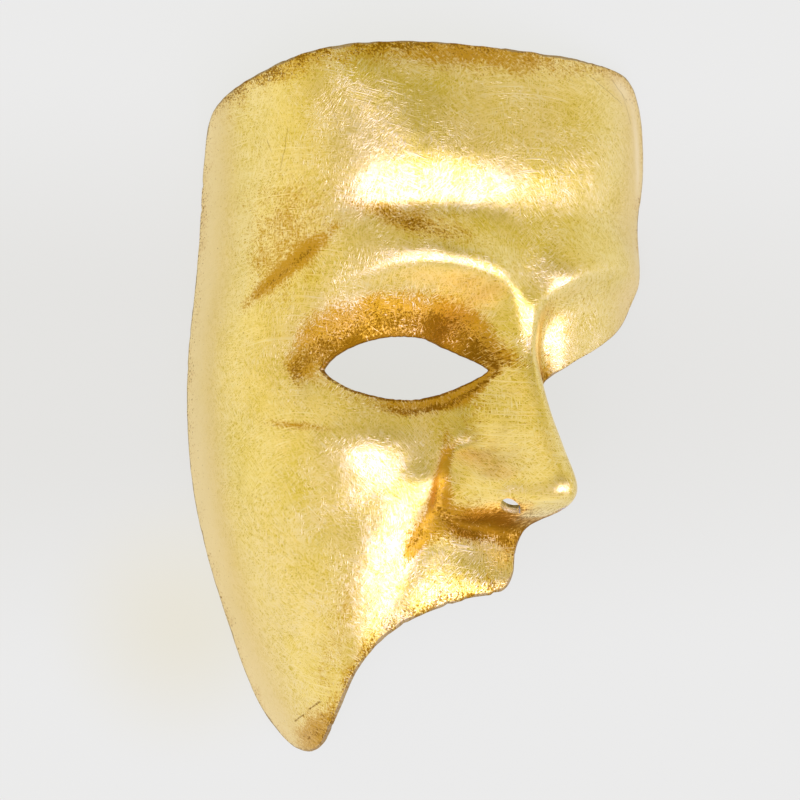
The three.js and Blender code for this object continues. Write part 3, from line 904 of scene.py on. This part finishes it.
class Value:
    """A socket that Python's operators turn into Math nodes."""

    def __init__(self, finish, socket):
        self.finish = finish
        self.socket = socket

    def math(self, operation, first, second=0.0):
        return self.finish.node("ShaderNodeMath", {"operation": operation}, {0: first, 1: second})

    def __add__(self, other):
        return self.math("ADD", self, other)

    def __sub__(self, other):
        return self.math("SUBTRACT", self, other)

    def __rsub__(self, other):
        return self.math("SUBTRACT", other, self)

    def __mul__(self, other):
        return self.math("MULTIPLY", self, other)

    def __abs__(self):
        return self.math("ABSOLUTE", self)

    def higher(self, other):
        return self.math("MAXIMUM", self, other)

    __radd__ = __add__
    __rmul__ = __mul__


class Nodes:
    """The nodes of one material or world, with one way of adding any node."""

    def __init__(self, owner):
        self.owner = owner
        owner.use_nodes = True
        self.tree = owner.node_tree
        self.tree.nodes.clear()

    def node(self, kind, settings, sockets, output=0):
        """Adds a node, sets it, fills its sockets with values or links, and gives one of its outputs."""
        node = self.tree.nodes.new(kind)
        for name, value in settings.items():
            setattr(node, name, value)
        for name, value in sockets.items():
            if isinstance(value, Value):
                self.tree.links.new(value.socket, node.inputs[name])
            else:
                node.inputs[name].default_value = value
        return Value(self, node.outputs[output]) if node.outputs else None

    def field(self, name, output="Fac"):
        """A field of the mesh."""
        return self.node("ShaderNodeAttribute", {"attribute_name": name}, {}, output)

    def vector(self, operation, first, second=(0, 0, 0), output=0):
        """Vector Math on two vectors."""
        return self.node("ShaderNodeVectorMath", {"operation": operation}, {0: first, 1: second}, output)

    def stretch(self, place, sizes, shift=(0, 0, 0)):
        """A place divided by sizes in its own unit, so that a noise on it has lumps of those sizes."""
        inverse = tuple(1 / size for size in sizes)
        return self.vector("ADD", self.vector("MULTIPLY", place, inverse), shift)

    def noise(self, place, detail=1.0, roughness=0.5):
        """A noise with lumps about one unit of the place long."""
        sockets = {"Vector": place, "Scale": 1.0, "Detail": detail, "Roughness": roughness}
        return self.node("ShaderNodeTexNoise", {}, sockets)

    def lumps(self, place, sizes, shift, detail=1.0, roughness=0.5):
        """A noise with lumps of given sizes."""
        return self.noise(self.stretch(place, sizes, shift), detail, roughness)

    def step(self, value, low, high, bottom=0.0, top=1.0):
        """The bottom value at low, the top one at high, and smooth between."""
        sockets = {"Value": value, "From Min": low, "From Max": high, "To Min": bottom, "To Max": top}
        return self.node("ShaderNodeMapRange", {"interpolation_type": "SMOOTHSTEP"}, sockets)

    def blend(self, share, first, second):
        """A colour between two colours."""
        return self.node("ShaderNodeMix", {"data_type": "RGBA"}, {0: share, 6: first, 7: second}, 2)

    def bump(self, height, distance, strength=1.0):
        """The surface's direction with a relief on it."""
        return self.node("ShaderNodeBump", {}, {"Strength": strength, "Distance": distance, "Height": height})

    def surface(self, sockets):
        """Ends the material in one surface with the given sockets."""
        shader = self.node("ShaderNodeBsdfPrincipled", {}, sockets)
        self.node("ShaderNodeOutputMaterial", {}, {"Surface": shader})
        return self.owner


def finish_named(name):
    """A new, empty material."""
    return Nodes(bpy.data.materials.new(name))


def centred(noise):
    """A noise about nought, in place of a half."""
    return noise - 0.5


def fibres(finish, place):
    """Strokes that cross: at each spot the highest of several noises, each drawn out its own way."""
    highest = -1.0
    for k, way in enumerate(STROKE_WAYS):
        turn = {"Vector": place, "Angle": radians(way)}
        turned = finish.node("ShaderNodeVectorRotate", {"rotation_type": "Z_AXIS"}, turn)
        strokes = centred(finish.lumps(turned, STROKE_SIZE, (STROKE_APART * k, 0, 0)))
        patches = finish.lumps(place, STROKE_PATCH, (STROKE_PATCH_APART * k, STROKE_PATCH_SHIFT, 0))
        highest = (strokes * finish.step(patches, *STROKE_PATCH_LEVELS)).higher(highest)
    for k, (x, y) in enumerate(SWEEP_CENTRES):
        from_centre = finish.vector("DISTANCE", place, (x * THIRD, y * THIRD, 0), "Value")
        rings = finish.vector("MULTIPLY", from_centre, (1 / SWEEP_WIDTH, 0, 0))
        sweeps = centred(finish.noise(finish.vector("ADD", finish.stretch(place, SWEEP_BENDS), rings)))
        patches = finish.lumps(place, SWEEP_PATCH, (SWEEP_PATCH_APART * k, SWEEP_PATCH_SHIFT, 0))
        highest = (sweeps * finish.step(patches, *SWEEP_PATCH_LEVELS)).higher(highest)
    return highest


def scratch(finish, place, waver, start, end, half_width):
    """One along a fine, unsteady line between two places on the sheet, and nought elsewhere."""
    ax, ay = start[0] * THIRD, start[1] * THIRD
    dx, dy = end[0] * THIRD - ax, end[1] * THIRD - ay
    length = hypot(dx, dy)
    dx, dy = dx / length, dy / length
    from_start = finish.vector("SUBTRACT", place, (ax, ay, 0))
    aside = finish.vector("DOT_PRODUCT", from_start, (-dy, dx, 0), "Value") + centred(waver) * LINE_WAVER
    along = finish.vector("DOT_PRODUCT", from_start, (dx, dy, 0), "Value")
    near = finish.step(abs(aside), half_width, 0)
    return near * finish.step(along, 0, LINE_FADE) * finish.step(along, length, length - LINE_FADE)


def leaf_colour(finish, broad, cloud, strokes, lively, slant_sheen):
    """The leaf itself: gold to olive in clouds, with a painted pale sheen where it slants, and strokes in
    three colours.
    """
    clouds = finish.step(broad + centred(cloud) * CLOUD_RAGGED, *CLOUD_LEVELS)
    leaf = finish.blend(clouds * CLOUD_SHARE, LEAF_GOLD, OLIVE_GOLD)
    # Painted sheen: paler leaf where the sheet slants
    leaf = finish.blend(slant_sheen * SHEEN_SLANT_SHARE, leaf, PALE_GOLD)
    for levels, share, colour in STROKE_COATS:
        leaf = finish.blend(finish.step(strokes, *levels) * lively * share, leaf, colour)
    return leaf


def gilding():
    """Pale gold leaf with fine strokes, amber and brown glaze over it, specks, cracks, edges where the leaf
    has come off, and painted pale sheen on slants, steep low sides and the low cheek.
    """
    finish = finish_named("gilding")
    place = finish.field("sheet_place", "Vector")
    amber, brown = finish.field("amber"), finish.field("brown")
    edge, wear_sheen = finish.field("edge_distance"), finish.field("wear_and_sheen")
    slant_sheen, painted_sheen = finish.field("slant_sheen"), finish.field("painted_sheen")

    broad = finish.lumps(place, *BROAD)
    cloud = finish.lumps(place, *CLOUD)
    grain = finish.lumps(place, *GRAIN)
    dents = finish.lumps(place, *DENTS)
    strokes = fibres(finish, place)
    strength = finish.step(finish.lumps(place, *STRENGTH), *STRENGTH_LEVELS)
    lively = (CALM + (1 - CALM) * strength) * (1 - wear_sheen)
    leaf = leaf_colour(finish, broad, cloud, strokes, lively, slant_sheen)

    ragged = centred(cloud) * CLOUD_RAG + centred(grain) * GRAIN_RAG
    ragged = ragged - (strokes - STROKE_MIDDLE) * STROKE_RAG
    thin = finish.step(amber + ragged * THIN_RAG + centred(broad) * THIN_BROAD, *THIN_LEVELS)
    thick = finish.step(brown + ragged, *THICK_LEVELS)
    filled = finish.step(strokes + centred(grain) * FILLED_GRAIN, *FILLED_LEVELS)
    colour = finish.blend(thin * THIN_SHARE, leaf, AMBER)
    colour = finish.blend(thick * filled, colour, GLAZE_BROWN)

    mottle = finish.step(cloud * MOTTLE_CLOUD + strokes * MOTTLE_STROKE, *MOTTLE_LEVELS)
    # Painted sheen with wear: the steep low sides are painted pale and matt, with an amber fringe
    colour = finish.blend(wear_sheen * (1 - wear_sheen) * WORN_AND_SHEEN_EDGE_SHARE, colour, AMBER)
    colour = finish.blend(wear_sheen * WORN_AND_SHEEN_SHARE, colour, WORN_AND_SHEEN_PALE)
    # Painted sheen: a mottled pale patch on the near low cheek and jaw
    colour = finish.blend(painted_sheen * mottle * PAINTED_SHEEN_SHARE, colour, PAINTED_SHEEN_PALE)

    clustered = LONE_SPECKS + (1 - LONE_SPECKS) * finish.step(cloud, *CLUSTER_LEVELS)
    near_edge = finish.step(edge, *EDGE_SPECKS) * clustered * (1 - WORN_AND_SHEEN_SPECKS * wear_sheen)
    near_edge = near_edge * finish.step(broad, *BROAD_SPECKS)
    specks = grain + near_edge * SPECK_EDGE + thick * SPECK_THICK + amber * SPECK_AMBER
    speck = finish.step(specks, *SPECK_LEVELS)
    scratches = sum(scratch(finish, place, cloud, *line) for line in SCRATCHES)
    waver = dents * CRACK_DENTS + grain * CRACK_GRAIN
    cracks = sum(scratch(finish, place, waver, *line) for line in CRACKS)
    crack = cracks * finish.step(grain, *CRACK_LEVELS)
    rim = finish.step(edge + centred(cloud) * RIM_CLOUD + centred(grain) * RIM_GRAIN, *RIM_LEVELS)
    colour = finish.blend(speck * SPECK_SHARE, colour, GLAZE_BROWN)
    colour = finish.blend(scratches * SCRATCH_SHARE, colour, GLAZE_BROWN)
    colour = finish.blend(crack, colour, GLAZE_BROWN)
    colour = finish.blend(rim * RIM_SHARE, colour, RIM_GREY)

    matt = wear_sheen * WORN_AND_SHEEN_MATT * (1 - speck) * (1 - crack) + rim * RIM_MATT
    rough = LEAF_ROUGH
    for share, value in zip(ROUGHER, (cloud, strength, thin, thick, wear_sheen, rim)):
        rough = rough + share * value
    height = strokes * lively + grain * (GRAIN_HEIGHT + GLAZE_HEIGHT * thin) * (1 - wear_sheen)
    height = height + dents * DENT_HEIGHT - speck * SPECK_DEPTH
    bumped = finish.bump(height, LEAF_RELIEF)
    return finish.surface({"Base Color": colour, "Metallic": 1 - matt, "Roughness": rough, "Normal": bumped})


def bare_paper():
    """Blue-grey paper pulp, as the inside and the cut edge show it."""
    finish = finish_named("bare_paper")
    place = finish.node("ShaderNodeTexCoord", {}, {}, "Object")
    pulp = finish.lumps(place, *PULP)
    fibre = finish.lumps(place, *PAPER_FIBRE)
    colour = finish.blend(finish.step(pulp, *PULP_LEVELS), PAPER_GREY, PAPER_LIGHT)
    colour = finish.blend(finish.step(fibre, *FLECK_LEVELS) * FLECK_SHARE, colour, PAPER_FLECK)
    bumped = finish.bump(pulp + fibre * FIBRE_HEIGHT, PAPER_RELIEF, PAPER_BUMP)
    return finish.surface({"Base Color": colour, "Roughness": PAPER_ROUGH, "Normal": bumped})


def make_floor():
    """A plain pale table top that glows, so that hardly a shadow shows on it, with a painted shadow and gold
    reflection beside the mask.
    """
    finish = finish_named("pale_table")
    corners = [(-1, -1, 0), (1, -1, 0), (1, 1, 0), (-1, 1, 0)]
    floor = new_mesh("table", np.array(corners) * TABLE_HALF, [(0, 1, 2, 3)])
    place = finish.node("ShaderNodeTexCoord", {}, {}, "Object")
    from_band = finish.vector("MULTIPLY", finish.vector("SUBTRACT", place, DIM_MIDDLE), DIM_STRETCH)
    from_band = finish.vector("LENGTH", from_band, output="Value")
    from_painted_bounce = finish.vector("DISTANCE", place, PAINTED_BOUNCE_AT, "Value")
    glow = finish.blend(finish.step(from_band, *DIM_REACH), GLOW_DIM, GLOW_PLAIN)
    # Painted shadow and painted gold reflection: a warmer, dimmer glow beside the mask's lower left
    glow = finish.blend(finish.step(from_painted_bounce, *PAINTED_BOUNCE_REACH), PAINTED_BOUNCE_GLOW, glow)
    sockets = {"Base Color": TABLE_COLOUR, "Roughness": TABLE_ROUGH}
    sockets |= {"Emission Color": glow, "Emission Strength": TABLE_GLOW}
    floor.data.materials.append(finish.surface(sockets))


def make_surroundings():
    """A pale room with a soft light above, a weaker one to the right and a greyer ring round them."""
    world = bpy.data.worlds.new("studio")
    bpy.context.scene.world = world
    sky = Nodes(world)
    direction = sky.node("ShaderNodeTexCoord", {}, {}, "Generated")
    up = sky.vector("DOT_PRODUCT", direction, Vector(LIGHT_AT).normalized(), "Value")
    side = sky.vector("DOT_PRODUCT", direction, Vector(SIDE_LIGHT_AT).normalized(), "Value")
    lean = sky.vector("DOT_PRODUCT", direction, BRIGHT_SIDE, "Value")
    light = sky.step(up, *LIGHT_EDGE, 0.0, LIGHT_ABOVE) + sky.step(side, *LIGHT_EDGE, 0.0, SIDE_LIGHT)
    walls = sky.step(up - lean, *RING_LEVELS, RING_GREY, WALL_PALE) * (1 + lean)
    tint = sky.blend(sky.step(light, 0, 1), WALL_TINT, LIGHT_TINT)
    background = sky.node("ShaderNodeBackground", {}, {"Color": tint, "Strength": light + walls})
    sky.node("ShaderNodeOutputWorld", {}, {"Surface": background})


def make_camera():
    """A camera straight above the mask, far enough for a long lens."""
    lens = bpy.data.cameras.new("camera")
    lens.sensor_width = SENSOR
    lens.lens = LENS
    camera = bpy.data.objects.new("camera", lens)
    bpy.context.scene.collection.objects.link(camera)
    camera.location = MIDDLE + Vector(CAMERA_OFFSET)
    bpy.context.scene.camera = camera


mask = make_mask()
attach(mask, "root")
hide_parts("mask_shell")

make_floor()
make_surroundings()
make_camera()
bpy.context.scene.view_settings.view_transform = "Standard"
